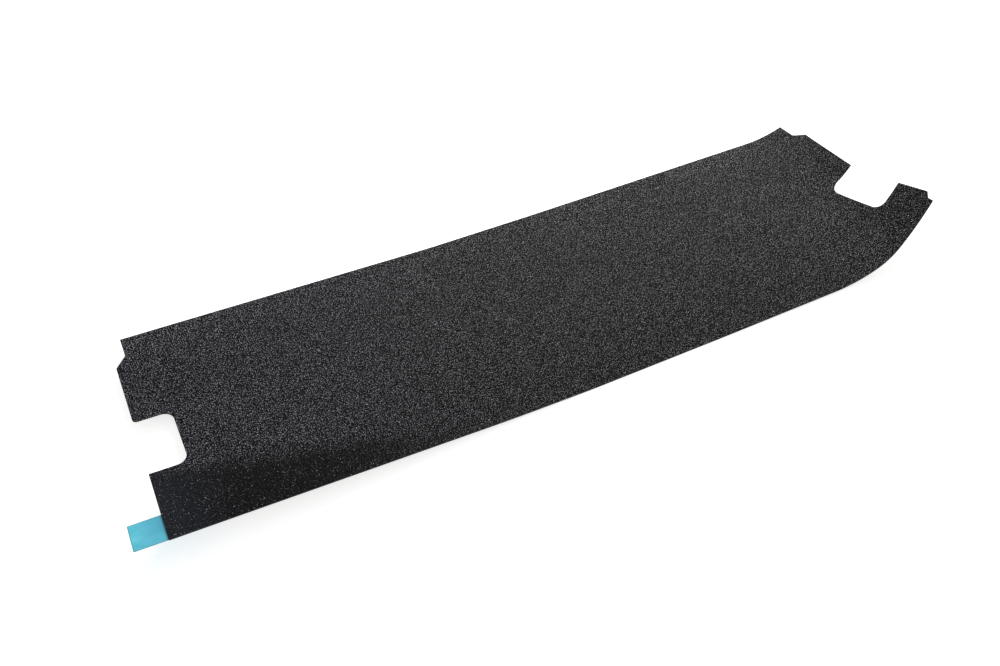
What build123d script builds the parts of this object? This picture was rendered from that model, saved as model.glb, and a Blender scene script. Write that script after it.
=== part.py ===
"""Die-cut self-adhesive grip sheet with a peel-off liner and a pull tab.

The sheet is drawn flat, as it leaves the die, with its underside on Z = 0. X runs along it, Y across it.
Each layer is cut from the same outline and bent along the same lines, so the layers lie face to face.
"""
from build123d import *
from math import cos, radians, sin
import os

os.makedirs("parts", exist_ok=True)

# Outline of the flat sheet. The far edge is at +Y, the near edge at -Y.
sheet_width = 165.0
corner_span = 520.0          # along the far edge, from corner to corner
recess_width = 16.0          # far corners, where the tongues start further in
recess_slope = 8.5
recess_radius = 3.0

left_tongue = 7.0            # how far the left end reaches past the far corner
left_notch_width = 43.0
left_notch_depth = 22.0
left_notch_offset = -12.0    # centre, from the middle of the sheet
left_notch_radius = 6.5
left_mouth_radius = 2.5

right_far_tongue = 6.0       # the right end's far tongue, at the recess and at the notch
right_far_tongue_at_notch = 3.0
right_near_tongue_at_notch = 8.0
right_near_tongue = 12.0     # at the small step beside the near edge
right_near_step = 3.5
right_step_width = 8.5
right_step_slope = 3.5
right_notch_width = 48.0
right_notch_offset = -24.0
right_notch_far_depth = 24.0
right_notch_near_depth = 21.5
right_notch_radius = 8.0

# Layers, from the underside up.
liner_thickness = 0.15
peel_gap = 0.03              # between the silicone face of the liner and the adhesive
adhesive_thickness = 0.12
film_thickness = 0.25
bond_thickness = 0.15
grit_thickness = 0.35

# Pull tab, a strip of film stuck under the liner at the near left corner.
tab_width = 18.0
tab_inset = 0.6              # from the near edge
tab_anchor_length = 20.0
tab_free_length = 17.0
tab_thickness = 0.12
tab_adhesive_thickness = 0.05
tab_hinge_gap = 0.60         # the film flexes here, and folds back under the sheet

# How the sheet lies: flat in the middle, with both ends lifted by bends that cross it at a slant.
# A bend is set by where it crosses the near edge line and the far edge line, and by its angle.
left_bend_near = [-12.0, -62.0, -74.0]
left_bend_far = [-48.0, -338.0, -434.0]
left_bend_angles = [1.8, 1.9, 1.6]
right_rise_near = 80.0
right_rise_far = 40.0
right_rise_angle = 0.6
curl_start = 176.0           # on the near edge line
curl_slant = 50.0            # how much further along each of its bends meets the far edge line
curl_runs = [33.0, 24.0, 36.0]          # its stages, from the middle of the sheet outwards
curl_angles = [19.5, 31.0, 11.5]
curl_bend_counts = [4, 7, 3]

half_width = sheet_width / 2
half_span = corner_span / 2
adhesive_low = liner_thickness + peel_gap
film_low = adhesive_low + adhesive_thickness
bond_low = film_low + film_thickness
grit_low = bond_low + bond_thickness


def rising_end():
    """The right end's bends from the middle outwards, with the curl's evenly spread over each stage."""
    bends = [(right_rise_near, right_rise_far, right_rise_angle)]
    near_x = curl_start
    for run, angle, count in zip(curl_runs, curl_angles, curl_bend_counts):
        for step in range(count):
            x = near_x + (step + 0.5) * run / count
            bends.append((x, x + curl_slant, angle / count))
        near_x += run
    return bends


def bend_line(bend, outward):
    """The line a bend turns about, and the level direction that leads outwards across it."""
    near = Vector(bend[0], -half_width, 0)
    along = (Vector(bend[1], half_width, 0) - near).normalized()
    across = Vector(along.Y, -along.X, 0) * outward
    return near, along, across


def turned_up(part, bend, outward):
    """Turns a whole part upwards about one bend."""
    near, along, across = bend_line(bend, outward)
    return part.rotate(Axis(near, along), -outward * bend[2])


def parted(part, bend, outward):
    """Cuts a flat part at a bend, mitred so that its two sides meet once the outer one is turned up."""
    near, along, across = bend_line(bend, outward)
    half = radians(bend[2] / 2)
    level = across * cos(half)
    rise = Vector(0, 0, sin(half))
    inner = split(part, bisect_by=Plane(near, x_dir=along, z_dir=level + rise), keep=Keep.BOTTOM)
    outer = split(part, bisect_by=Plane(near, x_dir=along, z_dir=level - rise), keep=Keep.TOP)
    return inner, outer


def laid(part):
    """Bends a flat layer as the sheet lies: strips are cut off and turned up from the ends inwards."""
    strips = []
    for bends, outward in ((right_bends, 1), (left_bends, -1)):
        end_strips = []
        for bend in reversed(bends):
            part, outer = parted(part, bend, outward)
            end_strips = [turned_up(strip, bend, outward) for strip in [*end_strips, outer]]
        strips += end_strips
    return part.fuse(*strips)


def layer(low, thickness):
    """One layer of the sheet, bent, from the die-cut outline."""
    with BuildPart() as flat:
        with BuildSketch(Plane.XY.offset(low)):
            add(die_cut.sketch)
        extrude(amount=thickness)
    return laid(flat.part)


def tab_strip(outer_x, length, low, thickness):
    """A strip of the tab, flat under the near left corner, then turned up with that corner."""
    with BuildPart() as flat:
        with BuildSketch(Plane.XY.offset(low)):
            with Locations((outer_x, -half_width + tab_inset)):
                Rectangle(length, tab_width, align=(Align.MIN, Align.MIN))
        extrude(amount=thickness)
    part = flat.part
    for bend in reversed(left_bends):
        part = turned_up(part, bend, -1)
    return part


left_bends = list(zip(left_bend_near, left_bend_far, left_bend_angles))
right_bends = rising_end()
left_end = -half_span - left_tongue
left_floor = left_end + left_notch_depth
left_notch_far = left_notch_offset + left_notch_width / 2
left_notch_near = left_notch_offset - left_notch_width / 2
right_notch_far = right_notch_offset + right_notch_width / 2
right_notch_near = right_notch_offset - right_notch_width / 2
recess_y = half_width - recess_width
tongue_y = recess_y - recess_slope
step_y = -half_width + right_step_width
step_foot_y = step_y - right_step_slope
right_far_mouth = half_span + right_far_tongue_at_notch
right_near_mouth = half_span + right_near_tongue_at_notch
right_step_x = half_span + right_near_tongue - right_near_step
right_far_floor = (right_far_mouth - right_notch_far_depth, right_notch_far)
right_near_floor = (right_near_mouth - right_notch_near_depth, right_notch_near)

with BuildSketch() as die_cut:
    with BuildLine():
        Polyline(
            (-half_span, half_width),
            (-half_span, recess_y),
            (left_end, tongue_y),
            (left_end, left_notch_far),
            (left_floor, left_notch_far),
            (left_floor, left_notch_near),
            (left_end, left_notch_near),
            (left_end, -half_width),
            (right_step_x, -half_width),
            (right_step_x, step_foot_y),
            (half_span + right_near_tongue, step_y),
            (right_near_mouth, right_notch_near),
            right_near_floor,
            right_far_floor,
            (right_far_mouth, right_notch_far),
            (half_span + right_far_tongue, tongue_y),
            (half_span, recess_y),
            (half_span, half_width),
            close=True,
        )
    make_face()
    for x, y, radius in (
        (-half_span, recess_y, recess_radius),
        (left_end, tongue_y, recess_radius),
        (left_end, left_notch_far, left_mouth_radius),
        (left_floor, left_notch_far, left_notch_radius),
        (left_floor, left_notch_near, left_notch_radius),
        (*right_near_floor, right_notch_radius),
        (*right_far_floor, right_notch_radius),
        (half_span + right_far_tongue, tongue_y, recess_radius),
        (half_span, recess_y, recess_radius),
    ):
        fillet(die_cut.vertices().sort_by_distance((x, y, 0))[0], radius)

release_liner = layer(0, liner_thickness)
adhesive_layer = layer(adhesive_low, adhesive_thickness)
carrier_film = layer(film_low, film_thickness)
bond_coat = layer(bond_low, bond_thickness)
grit_coat = layer(grit_low, grit_thickness)

tab_adhesive = tab_strip(left_end, tab_anchor_length, -tab_adhesive_thickness, tab_adhesive_thickness)
tab_low = -tab_adhesive_thickness - tab_thickness
tab_anchor = tab_strip(left_end, tab_anchor_length, tab_low, tab_thickness)
pull_tab = tab_strip(left_end - tab_hinge_gap - tab_free_length, tab_free_length, tab_low, tab_thickness)

for name, part in {
    "release_liner": release_liner,
    "adhesive_layer": adhesive_layer,
    "carrier_film": carrier_film,
    "bond_coat": bond_coat,
    "grit_coat": grit_coat,
    "tab_adhesive": tab_adhesive,
    "tab_anchor": tab_anchor,
    "pull_tab": pull_tab,
}.items():
    part.label = name
    export_step(part, f"parts/{name}.step")
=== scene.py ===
"""Looks of the die-cut grit sheet: smooth bent layers, a skin of real grit, and the film pull tab.

The sheet is drawn flat, as it leaves the die, with its underside on Z = 0, X along it and Y across it, and
is then bent as it lies. Everything is in metres.
"""
import math

import bpy
import numpy as np
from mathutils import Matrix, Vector
from mathutils.geometry import delaunay_2d_cdt


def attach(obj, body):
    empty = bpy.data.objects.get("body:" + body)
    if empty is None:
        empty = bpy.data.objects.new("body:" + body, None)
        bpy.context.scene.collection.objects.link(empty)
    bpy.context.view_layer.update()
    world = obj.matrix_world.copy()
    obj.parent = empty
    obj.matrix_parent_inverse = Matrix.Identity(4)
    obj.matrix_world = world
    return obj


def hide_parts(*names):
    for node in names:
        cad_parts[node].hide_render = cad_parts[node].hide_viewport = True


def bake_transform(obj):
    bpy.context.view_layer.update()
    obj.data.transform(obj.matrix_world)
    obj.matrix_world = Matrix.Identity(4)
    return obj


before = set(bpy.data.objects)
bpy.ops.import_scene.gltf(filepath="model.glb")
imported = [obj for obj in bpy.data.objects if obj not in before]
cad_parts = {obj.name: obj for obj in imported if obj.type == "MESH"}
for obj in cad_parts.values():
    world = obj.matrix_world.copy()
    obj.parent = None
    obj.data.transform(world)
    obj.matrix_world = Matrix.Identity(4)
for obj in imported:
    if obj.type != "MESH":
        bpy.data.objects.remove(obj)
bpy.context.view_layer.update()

# Outline of the flat sheet, as in the CAD model. The far edge is at +Y, the near edge at -Y.
SHEET_WIDTH = 0.165
CORNER_SPAN = 0.520
RECESS_WIDTH, RECESS_SLOPE, RECESS_RADIUS = 0.016, 0.0085, 0.003
LEFT_TONGUE = 0.007
LEFT_NOTCH_WIDTH, LEFT_NOTCH_DEPTH, LEFT_NOTCH_OFFSET = 0.043, 0.022, -0.012
LEFT_NOTCH_RADIUS, LEFT_MOUTH_RADIUS = 0.0065, 0.0025
RIGHT_FAR_TONGUE, RIGHT_FAR_TONGUE_AT_NOTCH = 0.006, 0.003
RIGHT_NEAR_TONGUE_AT_NOTCH, RIGHT_NEAR_TONGUE = 0.008, 0.012
RIGHT_NEAR_STEP, RIGHT_STEP_WIDTH, RIGHT_STEP_SLOPE = 0.0035, 0.0085, 0.0035
RIGHT_NOTCH_WIDTH, RIGHT_NOTCH_OFFSET = 0.048, -0.024
RIGHT_NOTCH_FAR_DEPTH, RIGHT_NOTCH_NEAR_DEPTH, RIGHT_NOTCH_RADIUS = 0.024, 0.0215, 0.008
DIE_RADIUS = 0.0005          # what the die leaves at a sharp corner
STEP_RADIUS = 0.0013

# Heights of the layers' faces above the sheet's underside.
LINER = (0.0, 0.00015)
ADHESIVE = (0.00018, 0.00030)
FILM = (0.00030, 0.00055)
RESIN = (0.00055, 0.00070)
GRIT_BASE = RESIN[1]
GRIT_HEIGHT = 0.00035

# Pull tab: a film strip stuck under the near left corner.
TAB_WIDTH, TAB_INSET = 0.018, 0.0006
TAB_ANCHOR, TAB_GAP, TAB_FREE = 0.020, 0.0006, 0.017
TAB_FACES = (-0.00017, -0.00005)

# Bends, as in the CAD model: where each crosses the near and the far edge line, and its degrees.
LEFT_BENDS = [(-0.012, -0.048, 1.8), (-0.062, -0.338, 1.9), (-0.074, -0.434, 1.6)]
RIGHT_RISE = (0.080, 0.040, 0.6)
SOFT_FOLD = 0.030            # how widely each of these is spread
CURL_START, CURL_SLANT = 0.176, 0.050
CURL_RUNS, CURL_ANGLES = [0.033, 0.024, 0.036], [19.5, 31.0, 11.5]
CURL_EASE = 0.010

GRAIN_PITCH = 0.00040        # between the points of the grit skin
GRAIN_FOOT = 0.00003         # how far its lowest points are above the resin
GRAIN_SKEW = 1.8             # over 1, so that most points are low and few are high
EDGE_GRAIN = 0.5             # how high a point on a cut edge is, as a share of what it would be inside
GRIT_AREAS = 8               # pieces that the grit skin is made in
COARSE_PITCH = 0.003         # between the points of a smooth face
CLUSTER_SIZE = 0.00122       # clusters of grit, each with a pale peak
CRYSTAL_SIZE = 0.00032
FACET_SIZE = 0.00012         # bumps on a single grain

# The near left flap, where shade is painted into the grit: its crease, which starts at the left end and
# runs towards the near edge, and how far to either side of the crease the painted shade is spread.
CREASE_START = (-0.245, -0.041)
CREASE_RUN = (0.145, -0.036)
CREASE_SPREAD = (-0.010, 0.006)
FLAP_FADE = (-0.185, -0.095)         # along the sheet, where the flap starts and stops to fade out
FLAP_FADED = 0.60                    # how much of it has faded by then

# Where light or shade is painted into the grit, paler or darker than in the middle: start, stop, and by how
# much from there on.
PAINTED_LIGHT_AT_ENDS = (0.060, 0.250, 0.26)
PAINTED_SHADE_ON_CURL = (0.215, 0.265, 0.34)
PAINTED_LIGHT_AT_FAR_EDGE = (0.042, 0.080, 0.20)
PAINTED_SHADE_AT_NEAR_EDGE = (0.030, 0.080, 0.12)

# Painted sheen: where a faint bluish light is painted on the flap's corner, standing in for light reflected
# there.
PAINTED_SHEEN_START, PAINTED_SHEEN_SPREAD = -0.226, 0.036      # along the sheet, towards the left end
PAINTED_SHEEN_NEAR_EDGE = (0.028, 0.048)              # across it, from its middle towards the near edge

TAB_GRID = (121, 25)         # points along and across the tab
TAB_WAVE = 0.00035           # how far the middle of its free end bows up
TAB_FLEX = 0.003             # a length out from the sheet's edge along the tab's near side
TAB_PAINTED_SHADE = 0.015            # the length beside the sheet where shade is painted into the film

HALF_WIDTH = SHEET_WIDTH / 2
HALF_SPAN = CORNER_SPAN / 2
LEFT_END = -HALF_SPAN - LEFT_TONGUE


# ---- The flat pattern ----

def arc_corner(before, corner, after, radius, step):
    """Points that round a corner, from the tangent point on one side to the one on the other."""
    before, corner, after = (np.array(p, float) for p in (before, corner, after))
    one = (before - corner) / np.linalg.norm(before - corner)
    two = (after - corner) / np.linalg.norm(after - corner)
    half = math.acos(np.clip(one @ two, -1, 1)) / 2
    middle = (one + two) / np.linalg.norm(one + two)
    centre = corner + middle * radius / math.sin(half)
    first = corner + one * radius / math.tan(half) - centre
    last = corner + two * radius / math.tan(half) - centre
    sweep = math.pi - 2 * half
    count = max(3, math.ceil(sweep * radius / step))
    share = np.linspace(0, 1, count + 1)[:, None]
    return centre + (first * np.sin((1 - share) * sweep) + last * np.sin(share * sweep)) / math.sin(sweep)


def die_cut_outline(step, arc_step=None):
    """The sheet's outline as points no further apart than step, or than arc_step where it is round."""
    left_floor = LEFT_END + LEFT_NOTCH_DEPTH
    left_far = LEFT_NOTCH_OFFSET + LEFT_NOTCH_WIDTH / 2
    left_near = LEFT_NOTCH_OFFSET - LEFT_NOTCH_WIDTH / 2
    right_far = RIGHT_NOTCH_OFFSET + RIGHT_NOTCH_WIDTH / 2
    right_near = RIGHT_NOTCH_OFFSET - RIGHT_NOTCH_WIDTH / 2
    recess_y = HALF_WIDTH - RECESS_WIDTH
    tongue_y = recess_y - RECESS_SLOPE
    step_y = -HALF_WIDTH + RIGHT_STEP_WIDTH
    far_mouth = HALF_SPAN + RIGHT_FAR_TONGUE_AT_NOTCH
    near_mouth = HALF_SPAN + RIGHT_NEAR_TONGUE_AT_NOTCH
    near_tip = HALF_SPAN + RIGHT_NEAR_TONGUE
    corners = [
        (-HALF_SPAN, HALF_WIDTH, DIE_RADIUS),
        (-HALF_SPAN, recess_y, RECESS_RADIUS),
        (LEFT_END, tongue_y, RECESS_RADIUS),
        (LEFT_END, left_far, LEFT_MOUTH_RADIUS),
        (left_floor, left_far, LEFT_NOTCH_RADIUS),
        (left_floor, left_near, LEFT_NOTCH_RADIUS),
        (LEFT_END, left_near, DIE_RADIUS),
        (LEFT_END, -HALF_WIDTH, DIE_RADIUS),
        (near_tip - RIGHT_NEAR_STEP, -HALF_WIDTH, DIE_RADIUS),
        (near_tip - RIGHT_NEAR_STEP, step_y - RIGHT_STEP_SLOPE, DIE_RADIUS),
        (near_tip, step_y, STEP_RADIUS),
        (near_mouth, right_near, DIE_RADIUS),
        (near_mouth - RIGHT_NOTCH_NEAR_DEPTH, right_near, RIGHT_NOTCH_RADIUS),
        (far_mouth - RIGHT_NOTCH_FAR_DEPTH, right_far, RIGHT_NOTCH_RADIUS),
        (far_mouth, right_far, DIE_RADIUS),
        (HALF_SPAN + RIGHT_FAR_TONGUE, tongue_y, RECESS_RADIUS),
        (HALF_SPAN, recess_y, RECESS_RADIUS),
        (HALF_SPAN, HALF_WIDTH, DIE_RADIUS),
    ]
    arcs = []
    for i, (x, y, radius) in enumerate(corners):
        after = corners[(i + 1) % len(corners)]
        arcs.append(arc_corner(corners[i - 1][:2], (x, y), after[:2], radius, arc_step or step))
    points = []
    for i, arc in enumerate(arcs):
        start, end = arc[-1], arcs[(i + 1) % len(arcs)][0]
        count = max(1, math.ceil(np.linalg.norm(end - start) / step))
        share = np.linspace(0, 1, count + 1)[1:-1, None]
        points += [arc, start + (end - start) * share]
    return np.concatenate(points)


def inside(points, outline, margin):
    """Which points lie inside the outline, at least margin away from it."""
    odd = np.zeros(len(points), bool)
    clear = np.ones(len(points), bool)
    for a, b in zip(outline, np.roll(outline, -1, 0)):
        if a[1] != b[1]:
            spans = (a[1] > points[:, 1]) != (b[1] > points[:, 1])
            odd ^= spans & (points[:, 0] < (b[0] - a[0]) * (points[:, 1] - a[1]) / (b[1] - a[1]) + a[0])
        near = np.all((points > np.minimum(a, b) - margin) & (points < np.maximum(a, b) + margin), 1)
        index = np.flatnonzero(near)
        if len(index):
            share = np.clip((points[index] - a) @ (b - a) / ((b - a) @ (b - a)), 0, 1)
            clear[index] &= np.linalg.norm(points[index] - a - share[:, None] * (b - a), axis=1) > margin
    return odd & clear


def scattered(outline, pitch, jitter, rng):
    """Points spread evenly inside the outline, each moved a little at random and kept off the rim."""
    row = pitch * math.sqrt(3) / 2
    low, high = outline.min(0), outline.max(0)
    x, y = np.meshgrid(np.arange(low[0], high[0], pitch), np.arange(low[1], high[1], row))
    x = x + (np.arange(len(x)) % 2)[:, None] * pitch / 2
    points = np.stack([x.ravel(), y.ravel()], 1)
    points += rng.uniform(-jitter, jitter, points.shape) * pitch
    return points[inside(points, die_cut_outline(0.02, 0.001), 0.55 * pitch)]


def triangulated(points, edges, rim_count):
    """Triangles inside the sheet that keep the given edges. The rim's points come first."""
    vectors = [Vector(p) for p in points.tolist()]
    points, _, faces, *_ = delaunay_2d_cdt(vectors, edges, [], 0, 1e-9, False)
    points, faces = np.array(points), np.array(faces)
    keep = np.ones(len(faces), bool)
    doubtful = np.flatnonzero(np.all(faces < rim_count, 1))
    keep[doubtful] = inside(points[faces[doubtful]].mean(1), die_cut_outline(GRAIN_PITCH), 0.0)
    return points, faces[keep]


def ring(count):
    """The edges of one closed loop of points."""
    return [(i, (i + 1) % count) for i in range(count)]


def cut_lines(rng):
    """Ragged lines across the sheet, where one grit piece ends and the next begins."""
    lines = []
    for x in np.linspace(LEFT_END, -LEFT_END, GRIT_AREAS + 1)[1:-1]:
        y = np.linspace(-HALF_WIDTH, HALF_WIDTH, round(SHEET_WIDTH / GRAIN_PITCH))
        ragged = rng.uniform(-0.3, 0.3, (2, len(y))) * GRAIN_PITCH
        ragged[1, [0, -1]] = 0
        lines.append(np.column_stack([x + ragged[0], y + ragged[1]]))
    return lines


def beside(points, line):
    """How far right of a cut line each point is."""
    return points[:, 0] - np.interp(points[:, 1], line[:, 1], line[:, 0])


def area_of(points, lines):
    """The number of the grit piece that each point lies in, from the left."""
    return sum((beside(points, line) > 0).astype(int) for line in lines)


# ---- How the sheet lies ----

def turned_up(points, near_x, far_x, outward, runs, angles, ease):
    """Bends what lies beyond a line upwards, smoothly, through each run and its degrees in turn."""
    near = np.array([near_x, -HALF_WIDTH, 0.0])
    along = np.array([far_x - near_x, SHEET_WIDTH, 0.0])
    along /= np.linalg.norm(along)
    across = np.array([along[1], -along[0], 0.0]) * outward
    up = np.array([0.0, 0.0, 1.0])
    ends = np.concatenate([[0], np.cumsum(runs)]) * along[1]
    step = ease / 40
    path = np.arange(-2 * ease, ends[-1] + 2 * ease, step)
    rate = sum(
        math.radians(angle) / (high - low) * ((path >= low) & (path < high))
        for low, high, angle in zip(ends[:-1], ends[1:], angles)
    )
    smooth = np.hanning(round(ease / step))
    turn = np.cumsum(np.convolve(rate, smooth / smooth.sum(), "same")) * step
    turn *= math.radians(sum(angles)) / turn[-1]
    level = path[0] + np.concatenate([[0], np.cumsum(np.cos(turn))[:-1]]) * step
    rise = np.concatenate([[0], np.cumsum(np.sin(turn))[:-1]]) * step
    offset = points - near
    beyond, height = offset @ across, offset[:, 2]
    angle = np.interp(beyond, path, turn)
    past = np.maximum(beyond - path[-1], 0) + np.minimum(beyond - path[0], 0)
    out = np.interp(beyond, path, level) + past * np.cos(angle) - height * np.sin(angle)
    lift = np.interp(beyond, path, rise) + past * np.sin(angle) + height * np.cos(angle)
    return near + np.outer(offset @ along, along) + np.outer(out, across) + np.outer(lift, up)


def laid(points):
    """Where points of the flat pattern come to lie once both ends are bent, the ends' own bends first."""
    near_x, far_x, degrees = RIGHT_RISE
    points = turned_up(points, CURL_START, CURL_START + CURL_SLANT, 1, CURL_RUNS, CURL_ANGLES, CURL_EASE)
    half = SOFT_FOLD / 2
    points = turned_up(points, near_x - half, far_x - half, 1, [SOFT_FOLD], [degrees], CURL_EASE)
    for near_x, far_x, degrees in reversed(LEFT_BENDS):
        points = turned_up(points, near_x, far_x, -1, [1e-6], [degrees], SOFT_FOLD)
    return points


# ---- Meshes ----

def new_piece(name, points, faces, material, smooth=False):
    """An object of its own from laid points and triangles."""
    mesh = bpy.data.meshes.new(name)
    mesh.vertices.add(len(points))
    mesh.vertices.foreach_set("co", points.astype(np.float32).ravel())
    mesh.loops.add(faces.size)
    mesh.loops.foreach_set("vertex_index", faces.astype(np.int32).ravel())
    mesh.polygons.add(len(faces))
    mesh.polygons.foreach_set("loop_start", np.arange(0, faces.size, 3, dtype=np.int32))
    mesh.polygons.foreach_set("use_smooth", np.full(len(faces), smooth))
    mesh.update(calc_edges=True)
    mesh.validate()
    mesh.materials.append(material)
    piece = bpy.data.objects.new(name, mesh)
    bpy.context.scene.collection.objects.link(piece)
    return piece


def rim_of(faces):
    """The edges that only one triangle has, in that triangle's order."""
    edges = np.concatenate([faces[:, [0, 1]], faces[:, [1, 2]], faces[:, [2, 0]]]).astype(np.int64)
    count = edges.max() + 1
    forward, backward = edges[:, 0] * count + edges[:, 1], edges[:, 1] * count + edges[:, 0]
    return edges[~np.isin(forward, backward)]


def closed(top, top_faces, bottom, bottom_faces, rim, rim_below):
    """Points and triangles of a closed sheet: its top, its bottom turned over, and a wall along the rim."""
    below = len(top)
    a, b = rim[:, 0], rim[:, 1]
    c, d = rim_below[:, 0] + below, rim_below[:, 1] + below
    wall = np.concatenate([np.stack([a, c, b], 1), np.stack([b, c, d], 1)])
    faces = np.concatenate([top_faces, bottom_faces[:, ::-1] + below, wall])
    return np.concatenate([top, bottom]), faces


def at_height(points, height):
    return np.column_stack([points[:, :2], np.broadcast_to(height, len(points))])


def make_layer(name, node, body, faces_at, material):
    """One smooth layer of the sheet, which stands for its CAD node."""
    outline = die_cut_outline(3 * GRAIN_PITCH)
    spread = scattered(outline, COARSE_PITCH, 0.0, np.random.default_rng(1))
    points, triangles = triangulated(np.concatenate([outline, spread]), ring(len(outline)), len(outline))
    low, high = faces_at
    top, bottom = laid(at_height(points, high)), laid(at_height(points, low))
    rim = rim_of(triangles)
    piece = new_piece(name, *closed(top, triangles, bottom, triangles, rim, rim), material, smooth=True)
    sharpen(piece)
    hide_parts(node)
    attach(piece, body)


def keep_pattern(piece, flat):
    """Lets a material know where each point of a piece lies in the flat pattern."""
    attribute = piece.data.attributes.new("pattern", "FLOAT_VECTOR", "POINT")
    attribute.data.foreach_set("vector", at_height(flat, 0.0).astype(np.float32).ravel())


def sharpen(piece):
    """Keeps the corner between a layer's face and its cut wall crisp."""
    bpy.context.view_layer.objects.active = piece
    piece.data.set_sharp_from_angle(angle=math.radians(40))


def eased(value, start, stop):
    """Zero up to start, one from stop, and smooth in between."""
    share = np.clip((value - start) / (stop - start), 0, 1)
    return share * share * (3 - 2 * share)


def growing(value, start, stop, amount):
    """Zero up to start, and amount from stop."""
    return amount * eased(value, start, stop)


def painted_shading(x, y):
    """How much paler or darker the grit is painted at each place of the pattern, as painted light and
    shade.

    The near left flap gets painted shade, which fades out along the sheet. Towards both ends and the far
    edge the grit gets painted light and is palest, and towards the near edge and on the curl painted shade
    makes it a little darker.
    """
    along = np.array(CREASE_RUN) / math.hypot(*CREASE_RUN)
    past_crease = (x - CREASE_START[0]) * along[1] - (y - CREASE_START[1]) * along[0]
    flap = eased(past_crease, *CREASE_SPREAD)
    flap *= 1 - growing(x, *FLAP_FADE, FLAP_FADED)
    ends = 1 + growing(abs(x), *PAINTED_LIGHT_AT_ENDS)
    curl = 1 - growing(x, *PAINTED_SHADE_ON_CURL)
    edges = 1 + growing(y, *PAINTED_LIGHT_AT_FAR_EDGE) - growing(-y, *PAINTED_SHADE_AT_NEAR_EDGE)
    return (1 - flap) * ends * curl * edges


def painted_sheen(x, y):
    """Painted sheen: how much bluish light is painted on the grit, at the flap's own corner only."""
    return np.clip((PAINTED_SHEEN_START - x) / PAINTED_SHEEN_SPREAD, 0, 1) * eased(-y, *PAINTED_SHEEN_NEAR_EDGE)


def make_grit(material):
    """The grit skin, in pieces side by side: points at random heights above the resin, most of them low."""
    rng = np.random.default_rng(7)
    outline = die_cut_outline(GRAIN_PITCH)
    lines = cut_lines(rng)
    fine = scattered(outline, GRAIN_PITCH, 0.30, rng)
    coarse = scattered(outline, COARSE_PITCH, 0.0, rng)
    edges = ring(len(outline))
    first = len(outline)
    for line in lines:
        fine = fine[abs(beside(fine, line)) > 0.45 * GRAIN_PITCH]
        coarse = coarse[abs(beside(coarse, line)) > 3 * GRAIN_PITCH]
        edges += [(first + i, first + i + 1) for i in range(len(line) - 1)]
        first += len(line)
    points, triangles = triangulated(np.concatenate([outline, *lines, fine]), edges, len(outline))
    grain = rng.random(len(points)) ** GRAIN_SKEW
    edge = np.unique(rim_of(triangles))
    grain[edge] *= EDGE_GRAIN
    top = laid(at_height(points, GRIT_BASE + GRAIN_FOOT + grain * GRIT_HEIGHT))
    # painted light and shade, and painted sheen, kept on the points for the grit material
    looks = {"painted_shading": painted_shading(points[:, 0], points[:, 1]), "painted_sheen": painted_sheen(points[:, 0], points[:, 1])}
    area, coarse_area = area_of(points[triangles].mean(1), lines), area_of(coarse, lines)
    for number in range(GRIT_AREAS):
        used, faces = np.unique(triangles[area == number], return_inverse=True)
        faces = faces.reshape(-1, 3)
        rim = rim_of(faces)
        rim_points, rim_below = np.unique(rim, return_inverse=True)
        rim_below = rim_below.reshape(-1, 2)
        low = np.concatenate([points[used[rim_points]], coarse[coarse_area == number]])
        low, low_faces = triangulated(low, rim_below.tolist(), len(rim_points))
        low_faces = low_faces[area_of(low[low_faces].mean(1), lines) == number]
        bottom = laid(at_height(low, GRIT_BASE))
        shell = closed(top[used], faces, bottom, low_faces, rim, rim_below)
        piece = new_piece(f"grit_area_{number + 1}", *shell, material)
        for name, values in looks.items():
            attribute = piece.data.attributes.new(name, "FLOAT", "POINT")
            every = np.zeros(len(piece.data.vertices), np.float32)
            every[: len(used)] = values[used]
            attribute.data.foreach_set("value", every)
        keep_pattern(piece, np.concatenate([points[used], low]))
        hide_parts("grit_coat")
        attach(piece, "pad")


def make_tab(material):
    """The film tab in one strip, stuck at one end and free at the other."""
    start, stop = LEFT_END - TAB_GAP - TAB_FREE, LEFT_END + TAB_ANCHOR
    near = -HALF_WIDTH + TAB_INSET
    across = np.linspace(near, near + TAB_WIDTH, TAB_GRID[1])
    x, y = np.meshgrid(np.linspace(start, stop, TAB_GRID[0]), across)
    columns, rows = x.shape[1], x.shape[0]
    flat = np.stack([x.ravel(), y.ravel()], 1)
    free = np.clip((LEFT_END - flat[:, 0]) / TAB_FREE, 0, 1)
    wave = TAB_WAVE * free ** 2 * np.sin((flat[:, 1] - near) / TAB_WIDTH * math.pi)
    index = np.arange(rows * columns).reshape(rows, columns)
    a, b, c, d = index[:-1, :-1], index[:-1, 1:], index[1:, 1:], index[1:, :-1]
    triangles = np.concatenate([
        np.stack([a.ravel(), b.ravel(), c.ravel()], 1),
        np.stack([a.ravel(), c.ravel(), d.ravel()], 1),
    ])
    top = laid(at_height(flat, TAB_FACES[1] + wave))
    bottom = laid(at_height(flat, TAB_FACES[0] + wave))
    rim = rim_of(triangles)
    shell = closed(top, triangles, bottom, triangles, rim, rim)
    piece = new_piece("pull_tab_film", *shell, material, smooth=True)
    sharpen(piece)
    keep_pattern(piece, np.tile(flat, (2, 1)))
    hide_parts("tab_anchor", "pull_tab")
    line = laid(np.array([[LEFT_END, near, TAB_FACES[1]], [LEFT_END - TAB_FLEX, near, TAB_FACES[1]]]))
    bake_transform(piece)


# ---- Materials ----

def new_material(name):
    material = bpy.data.materials.new(name)
    material.use_nodes = True
    return material, material.node_tree, material.node_tree.nodes["Principled BSDF"]


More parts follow.
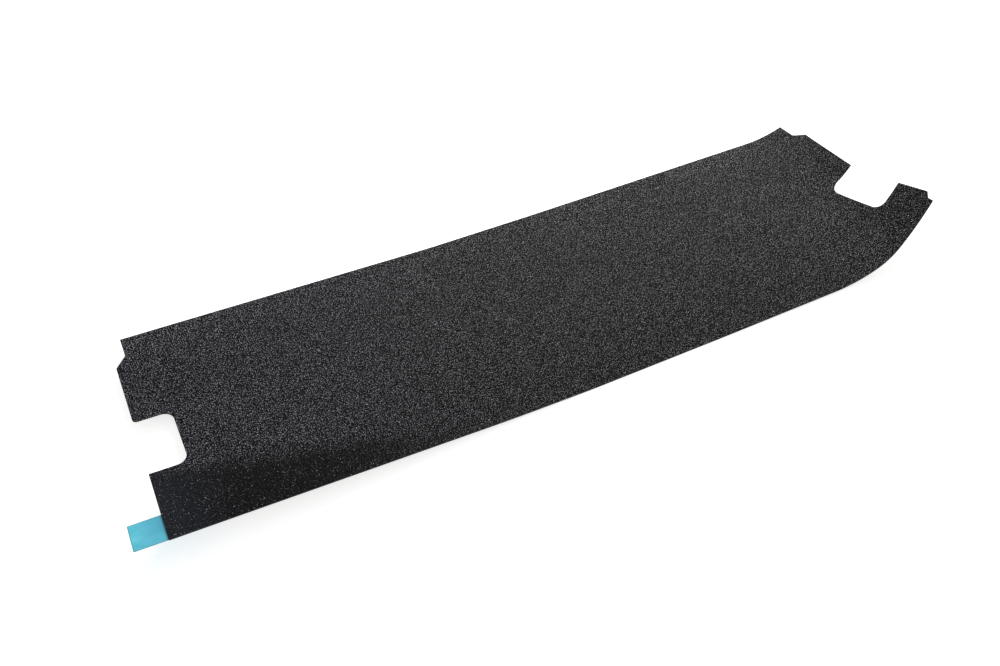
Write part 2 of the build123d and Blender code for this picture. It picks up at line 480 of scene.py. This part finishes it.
def add(tree, kind, inputs=(), **settings):
    """A new node with its settings and inputs, each a value or another node's output."""
    node = tree.nodes.new(kind)
    for name, value in settings.items():
        setattr(node, name, value)
    for name, value in dict(inputs).items():
        if isinstance(value, bpy.types.NodeSocket):
            tree.links.new(value, node.inputs[name])
        else:
            node.inputs[name].default_value = value
    return node


def calc(tree, operation, first, second=0.0, third=0.0):
    """The output of a math node."""
    return add(tree, "ShaderNodeMath", {0: first, 1: second, 2: third}, operation=operation).outputs[0]


def remap(tree, value, low, high, to_low, to_high):
    inputs = {"Value": value, "From Min": low, "From Max": high, "To Min": to_low, "To Max": to_high}
    return add(tree, "ShaderNodeMapRange", inputs).outputs["Result"]


def blend_colours(tree, factor, first, second):
    """Between two colours, each three numbers or another node's output."""
    first, second = ((*c, 1) if isinstance(c, tuple) else c for c in (first, second))
    return add(tree, "ShaderNodeMix", {0: factor, 6: first, 7: second}, data_type="RGBA").outputs[2]


def noise(tree, place, size, detail=2.0, roughness=0.5):
    """Noise whose features are about size metres across."""
    inputs = {"Vector": place, "Scale": 1 / size, "Detail": detail, "Roughness": roughness}
    return add(tree, "ShaderNodeTexNoise", inputs).outputs["Fac"]


def object_place(tree):
    return add(tree, "ShaderNodeTexCoord").outputs["Object"]


def pattern_place(tree):
    return add(tree, "ShaderNodeAttribute", attribute_name="pattern").outputs["Vector"]


def set_bump(tree, shader, height, distance, strength):
    inputs = {"Height": height, "Distance": distance, "Strength": strength}
    tree.links.new(add(tree, "ShaderNodeBump", inputs).outputs["Normal"], shader.inputs["Normal"])


def grit_material():
    """Black mineral grit: pale dusty peaks, dark resin between them, a few bright crystals and painted
    glints, with painted light, shade and sheen laid over it by place.
    """
    material, tree, shader = new_material("mineral_grit")
    place, flat = object_place(tree), pattern_place(tree)
    inputs = {"Vector": flat, "Scale": 1 / CLUSTER_SIZE}
    cell = add(tree, "ShaderNodeTexVoronoi", inputs, voronoi_dimensions="2D")
    cluster = add(tree, "ShaderNodeSeparateColor", {0: cell.outputs["Color"]}).outputs
    crystal = add(tree, "ShaderNodeTexVoronoi", {"Vector": place, "Scale": 1 / CRYSTAL_SIZE})
    crystal = add(tree, "ShaderNodeSeparateColor", {0: crystal.outputs["Color"]}).outputs
    painted_shading_value = add(tree, "ShaderNodeAttribute", attribute_name="painted_shading").outputs["Fac"]
    mottle = remap(tree, noise(tree, place, 0.030, 3.0), 0.3, 0.7, 0.94, 1.06)
    peak = remap(tree, cell.outputs["Distance"], 0.04, 0.28, 1.0, 0.0)
    level = calc(tree, "MULTIPLY", peak, remap(tree, cluster["Red"], 0.0, 1.0, 0.01, 0.47))
    level = calc(tree, "MULTIPLY_ADD", calc(tree, "POWER", crystal["Red"], 50.0), 0.44, level)
    level = calc(tree, "MULTIPLY", level, mottle)
    # painted light and shade: the grit made paler or darker by place in the pattern
    level = calc(tree, "MULTIPLY", level, remap(tree, painted_shading_value, 0.0, 1.5, 0.10, 1.45))
    # painted glints: bright dots added to the colour, standing in for light glinting off crystals; the
    # metallic crystals among them also reflect more
    painted_glint = calc(tree, "POWER", crystal["Blue"], 90.0)
    level = calc(tree, "MULTIPLY_ADD", painted_glint, 0.34, level)
    cool = remap(tree, add(tree, "ShaderNodeSeparateXYZ", {0: flat}).outputs[0], -0.27, 0.06, 1.0, 0.0)
    pale = blend_colours(tree, cool, (1.0, 1.0, 1.0), (0.975, 0.985, 1.13))
    # painted sheen: the colour between the grains lifted to a bluish grey at the flap's corner
    painted_sheen_value = add(tree, "ShaderNodeAttribute", attribute_name="painted_sheen").outputs["Fac"]
    dark = blend_colours(tree, painted_sheen_value, (0.0020, 0.0020, 0.0020), (0.0125, 0.0140, 0.0180))
    tree.links.new(blend_colours(tree, level, dark, pale), shader.inputs["Base Color"])
    glint = calc(tree, "GREATER_THAN", crystal["Blue"], 0.985)
    tree.links.new(glint, shader.inputs["Metallic"])
    tree.links.new(remap(tree, crystal["Green"], 0.0, 1.0, 0.35, 0.75), shader.inputs["Roughness"])
    shader.inputs["Specular IOR Level"].default_value = 0.05
    set_bump(tree, shader, noise(tree, place, FACET_SIZE, 2.0), 0.00004, 0.5)
    return material


def resin_material():
    """Cured black resin under the grit, seen at the cut edge."""
    material, tree, shader = new_material("bond_resin")
    place = object_place(tree)
    cloud = noise(tree, place, 0.0012, 3.0)
    colour = blend_colours(tree, cloud, (0.010, 0.010, 0.011), (0.028, 0.028, 0.029))
    tree.links.new(colour, shader.inputs["Base Color"])
    tree.links.new(remap(tree, cloud, 0.3, 0.7, 0.35, 0.55), shader.inputs["Roughness"])
    set_bump(tree, shader, noise(tree, place, 0.0002, 2.0), 0.00003, 0.5)
    return material


def film_material():
    """Black polymer film with the fine drag marks of the die at its edge."""
    material, tree, shader = new_material("carrier_film")
    place = object_place(tree)
    drag = noise(tree, place, 0.0005, 4.0, 0.6)
    colour = blend_colours(tree, drag, (0.016, 0.016, 0.017), (0.042, 0.042, 0.044))
    tree.links.new(colour, shader.inputs["Base Color"])
    tree.links.new(remap(tree, drag, 0.3, 0.7, 0.40, 0.60), shader.inputs["Roughness"])
    set_bump(tree, shader, drag, 0.00003, 0.4)
    return material


def adhesive_material():
    """Clear soft adhesive, dark over the black film behind it, with a soft sheen and faint milky clouds."""
    material, tree, shader = new_material("adhesive")
    place = object_place(tree)
    cloud = noise(tree, place, 0.006, 4.0, 0.6)
    milky = remap(tree, cloud, 0.35, 0.70, 0.0, 1.0)
    colour = blend_colours(tree, milky, (0.016, 0.016, 0.016), (0.045, 0.045, 0.043))
    tree.links.new(colour, shader.inputs["Base Color"])
    tree.links.new(remap(tree, cloud, 0.3, 0.7, 0.34, 0.46), shader.inputs["Roughness"])
    shader.inputs["Specular IOR Level"].default_value = 0.18
    shader.inputs["Coat Weight"].default_value = 0.04
    shader.inputs["Coat Roughness"].default_value = 0.25
    set_bump(tree, shader, noise(tree, place, 0.0020, 3.0), 0.00004, 0.20)
    return material


def paper_material():
    """Siliconised liner paper: off-white, with fibres, faint clouds and a low sheen."""
    material, tree, shader = new_material("liner_paper")
    place = object_place(tree)
    stretch = add(tree, "ShaderNodeMapping", {"Vector": place, "Scale": (1.0, 3.5, 1.0)}).outputs[0]
    fibre = noise(tree, stretch, 0.0016, 5.0, 0.65)
    cloud = noise(tree, place, 0.012, 3.0)
    both = calc(tree, "MULTIPLY_ADD", fibre, 0.6, calc(tree, "MULTIPLY", cloud, 0.4))
    colour = blend_colours(tree, both, (0.58, 0.565, 0.525), (0.74, 0.73, 0.69))
    tree.links.new(colour, shader.inputs["Base Color"])
    tree.links.new(remap(tree, fibre, 0.3, 0.7, 0.50, 0.65), shader.inputs["Roughness"])
    shader.inputs["Specular IOR Level"].default_value = 0.15
    set_bump(tree, shader, fibre, 0.00005, 0.4)
    return material


def tab_material():
    """Turquoise film, a little see-through and streaky, with painted shade beside the sheet, and deeper at
    its cut rim.
    """
    material, tree, shader = new_material("tab_film")
    place = pattern_place(tree)
    inputs = {"Vector": place, "Rotation": (0, 0, -0.9), "Scale": (0.6, 1.4, 1.0)}
    turned = add(tree, "ShaderNodeMapping", inputs)
    streak = noise(tree, turned.outputs[0], 0.0070, 2.0, 0.45)
    cloud = noise(tree, place, 0.008, 2.0, 0.45)
    streaky = remap(tree, streak, 0.34, 0.66, 0.0, 1.0)
    film = blend_colours(tree, streaky, (0.100, 0.66, 0.82), (0.145, 0.76, 0.93))
    film = blend_colours(tree, remap(tree, cloud, 0.50, 0.68, 0.0, 0.40), film, (0.18, 0.66, 0.94))
    x, y, _ = add(tree, "ShaderNodeSeparateXYZ", {0: place}).outputs
    middle_x = LEFT_END + (TAB_ANCHOR - TAB_GAP - TAB_FREE) / 2
    middle_y = TAB_INSET + TAB_WIDTH / 2 - HALF_WIDTH
    # painted shade: the film darker beside the sheet, most towards the tab's far side
    painted_shade = remap(tree, x, LEFT_END - TAB_PAINTED_SHADE, LEFT_END, 0.0, 1.0)
    painted_shade = calc(tree, "MULTIPLY", painted_shade, remap(tree, y, middle_y - TAB_WIDTH / 2, middle_y, 0.45, 1.0))
    film = blend_colours(tree, painted_shade, film, (0.066, 0.46, 0.65))
    from_middle = calc(tree, "ABSOLUTE", calc(tree, "SUBTRACT", x, middle_x))
    past_end = calc(tree, "SUBTRACT", from_middle, (TAB_ANCHOR + TAB_GAP + TAB_FREE) / 2)
    from_middle = calc(tree, "ABSOLUTE", calc(tree, "SUBTRACT", y, middle_y))
    past_rim = calc(tree, "MAXIMUM", past_end, calc(tree, "SUBTRACT", from_middle, TAB_WIDTH / 2))
    film = blend_colours(tree, remap(tree, past_rim, -0.0007, -0.0002, 0.0, 0.8), film, (0.085, 0.34, 0.42))
    tree.links.new(film, shader.inputs["Base Color"])
    tree.links.new(remap(tree, streak, 0.3, 0.7, 0.24, 0.36), shader.inputs["Roughness"])
    shader.inputs["Transmission Weight"].default_value = 0.12
    set_bump(tree, shader, streak, 0.00005, 0.2)
    return material


# ---- Stage, light and camera ----

WHITE = (1, 1, 1, 1)
FLOOR_WIDTH = 12.0
FLOOR_GLOW = 0.68            # on top of the light that falls on it, so that it looks white
FILL_LIGHT = 0.45            # what the surroundings give
KEY_PLACE, KEY_SIZE, KEY_POWER = (0.20, 0.46, 0.44), 0.45, 4.6
CAMERA_PLACE = (-0.23715, -0.39915, 0.43896)
CAMERA_DOWN = 0.79335        # radians below the horizon
CAMERA_RIGHT = 0.47067       # radians to the right of straight across the sheet
LENS, SENSOR = 34.5, 36.0    # millimetres


def seen_directly(tree):
    """One where a ray comes from the camera, a reflection or a see-through surface."""
    path = add(tree, "ShaderNodeLightPath")
    seen = calc(tree, "MAXIMUM", path.outputs["Is Camera Ray"], path.outputs["Is Glossy Ray"])
    return calc(tree, "MAXIMUM", seen, path.outputs["Is Transmission Ray"])


def make_floor():
    """A large plain floor, white to the eye, which still takes the object's shadow."""
    material = bpy.data.materials.new("floor")
    material.use_nodes = True
    tree = material.node_tree
    tree.nodes.clear()
    paper = add(tree, "ShaderNodeBsdfDiffuse", {"Color": (0.82, 0.82, 0.82, 1)}).outputs[0]
    glow = add(tree, "ShaderNodeEmission", {"Color": WHITE, "Strength": FLOOR_GLOW}).outputs[0]
    lit = add(tree, "ShaderNodeAddShader", {0: paper, 1: glow}).outputs[0]
    mix = add(tree, "ShaderNodeMixShader", {0: seen_directly(tree), 1: paper, 2: lit}).outputs[0]
    add(tree, "ShaderNodeOutputMaterial", {"Surface": mix})
    half = FLOOR_WIDTH / 2
    corners = [(-half, -half, 0), (half, -half, 0), (half, half, 0), (-half, half, 0)]
    mesh = bpy.data.meshes.new("floor")
    mesh.from_pydata(corners, [], [(0, 1, 2, 3)])
    mesh.materials.append(material)
    floor = bpy.data.objects.new("floor", mesh)
    bpy.context.scene.collection.objects.link(floor)


def make_world():
    world = bpy.data.worlds.new("studio")
    world.use_nodes = True
    tree = world.node_tree
    tree.nodes.clear()
    fill = add(tree, "ShaderNodeBackground", {"Color": WHITE, "Strength": FILL_LIGHT}).outputs[0]
    white = add(tree, "ShaderNodeBackground", {"Color": WHITE, "Strength": 1.0}).outputs[0]
    mix = add(tree, "ShaderNodeMixShader", {0: seen_directly(tree), 1: fill, 2: white}).outputs[0]
    add(tree, "ShaderNodeOutputWorld", {"Surface": mix})
    bpy.context.scene.world = world


def make_lamp(name, place, target, size, power):
    lamp = bpy.data.lights.new(name, "AREA")
    lamp.shape = "DISK"
    lamp.size = size
    lamp.energy = power
    holder = bpy.data.objects.new(name, lamp)
    holder.location = place
    holder.rotation_euler = (Vector(target) - Vector(place)).to_track_quat("-Z", "Y").to_euler()
    holder.visible_camera = False
    bpy.context.scene.collection.objects.link(holder)


def make_camera():
    camera = bpy.data.objects.new("camera", bpy.data.cameras.new("camera"))
    camera.data.lens = LENS
    camera.data.sensor_width = SENSOR
    camera.data.clip_start = 0.01
    camera.location = CAMERA_PLACE
    camera.rotation_euler = (math.pi / 2 - CAMERA_DOWN, 0.0, -CAMERA_RIGHT)
    bpy.context.scene.collection.objects.link(camera)
    bpy.context.scene.camera = camera


make_camera()
make_world()
make_floor()
make_lamp("key", KEY_PLACE, (0.0, 0.0, 0.0), KEY_SIZE, KEY_POWER)

adhesive = adhesive_material()
make_layer("liner_sheet", "release_liner", "liner", LINER, paper_material())
make_layer("adhesive_sheet", "adhesive_layer", "pad", ADHESIVE, adhesive)
make_layer("film_sheet", "carrier_film", "pad", FILM, film_material())
make_layer("resin_sheet", "bond_coat", "pad", RESIN, resin_material())
make_grit(grit_material())
make_tab(tab_material())
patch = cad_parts["tab_adhesive"]
patch.data.materials.clear()
patch.data.materials.append(adhesive)

scene = bpy.context.scene
scene.view_settings.view_transform = "Standard"
